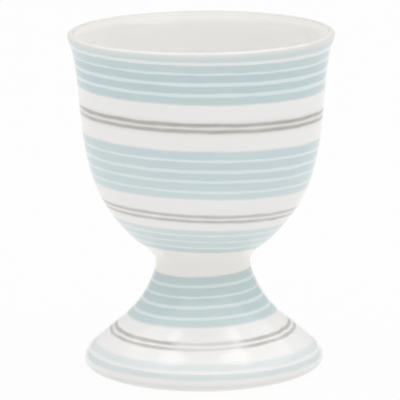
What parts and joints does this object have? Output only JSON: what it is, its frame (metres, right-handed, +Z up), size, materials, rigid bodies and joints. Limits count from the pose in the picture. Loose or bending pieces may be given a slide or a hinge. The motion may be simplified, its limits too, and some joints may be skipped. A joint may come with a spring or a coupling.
{
  "type": "egg cup",
  "caption": "Footed porcelain egg cup: a round-bottomed bowl with a flared lip on a spreading hollow foot, ringed with pale blue stripes and grey lines.",
  "frame": {"origin": "centre of the flat ring on which the foot rests, on the table", "axes": "+Z up along the axis of the cup, from the foot to the lip; X and Y are alike because the cup is round"},
  "size_m": [0.0506, 0.0506, 0.065],
  "materials": {
    "glazed_porcelain": "clear gloss glaze over white porcelain, bare on the ring it stands on",
    "porcelain_slip": "fired slip in the joint, glazed over",
    "pale_blue_colour": "pale blue ceramic colour under gloss glaze, slightly uneven",
    "warm_grey_colour": "warm grey ceramic colour under gloss glaze"
  },
  "bodies": {
    "root": {"bowl": "glazed_porcelain", "foot": "glazed_porcelain", "slip_joint": "porcelain_slip", "rim_stripes": "pale_blue_colour", "upper_lines": "warm_grey_colour", "belly_stripes": "pale_blue_colour", "lower_lines": "warm_grey_colour", "lower_stripes": "pale_blue_colour", "stem_stripes": "pale_blue_colour", "foot_lines": "warm_grey_colour", "foot_edge_stripes": "pale_blue_colour"}
  },
  "joints": []
}
